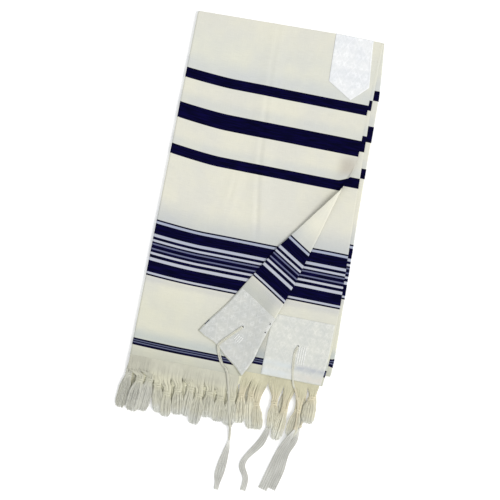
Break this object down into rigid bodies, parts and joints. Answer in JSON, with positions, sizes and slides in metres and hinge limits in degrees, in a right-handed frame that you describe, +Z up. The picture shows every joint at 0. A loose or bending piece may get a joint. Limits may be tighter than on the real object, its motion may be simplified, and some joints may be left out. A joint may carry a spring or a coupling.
{
  "type": "tallit prayer shawl",
  "caption": "Folded wool prayer shawl lying flat, one corner turned back, with satin patches, knotted fringe and corner strings.",
  "frame": {"origin": "middle of the footprint, on the surface the folded cloth lies on", "axes": "+Y towards the mid-length fold at the top, +X towards the free selvages at the right, +Z up"},
  "size_m": [0.474, 1.078, 0.0195],
  "materials": {
    "cream_wool": "matt woven wool",
    "white_satin": "satin with a woven figure",
    "cream_yarn": "matt twisted wool yarn"
  },
  "bodies": {
    "root": {"upper_panel": "cream_wool", "second_panel": "cream_wool", "folded_core": "cream_wool", "neck_patch": "white_satin", "corner_patch_turned": "white_satin", "corner_patch_second": "white_satin", "fringe_upper": "cream_yarn", "fringe_second": "cream_yarn", "fringe_core": "cream_yarn", "tzitzit_turned_corner": "cream_yarn", "tzitzit_second_corner": "cream_yarn", "tzitzit_hidden_left": "cream_yarn", "tzitzit_hidden_right": "cream_yarn"}
  },
  "joints": []
}
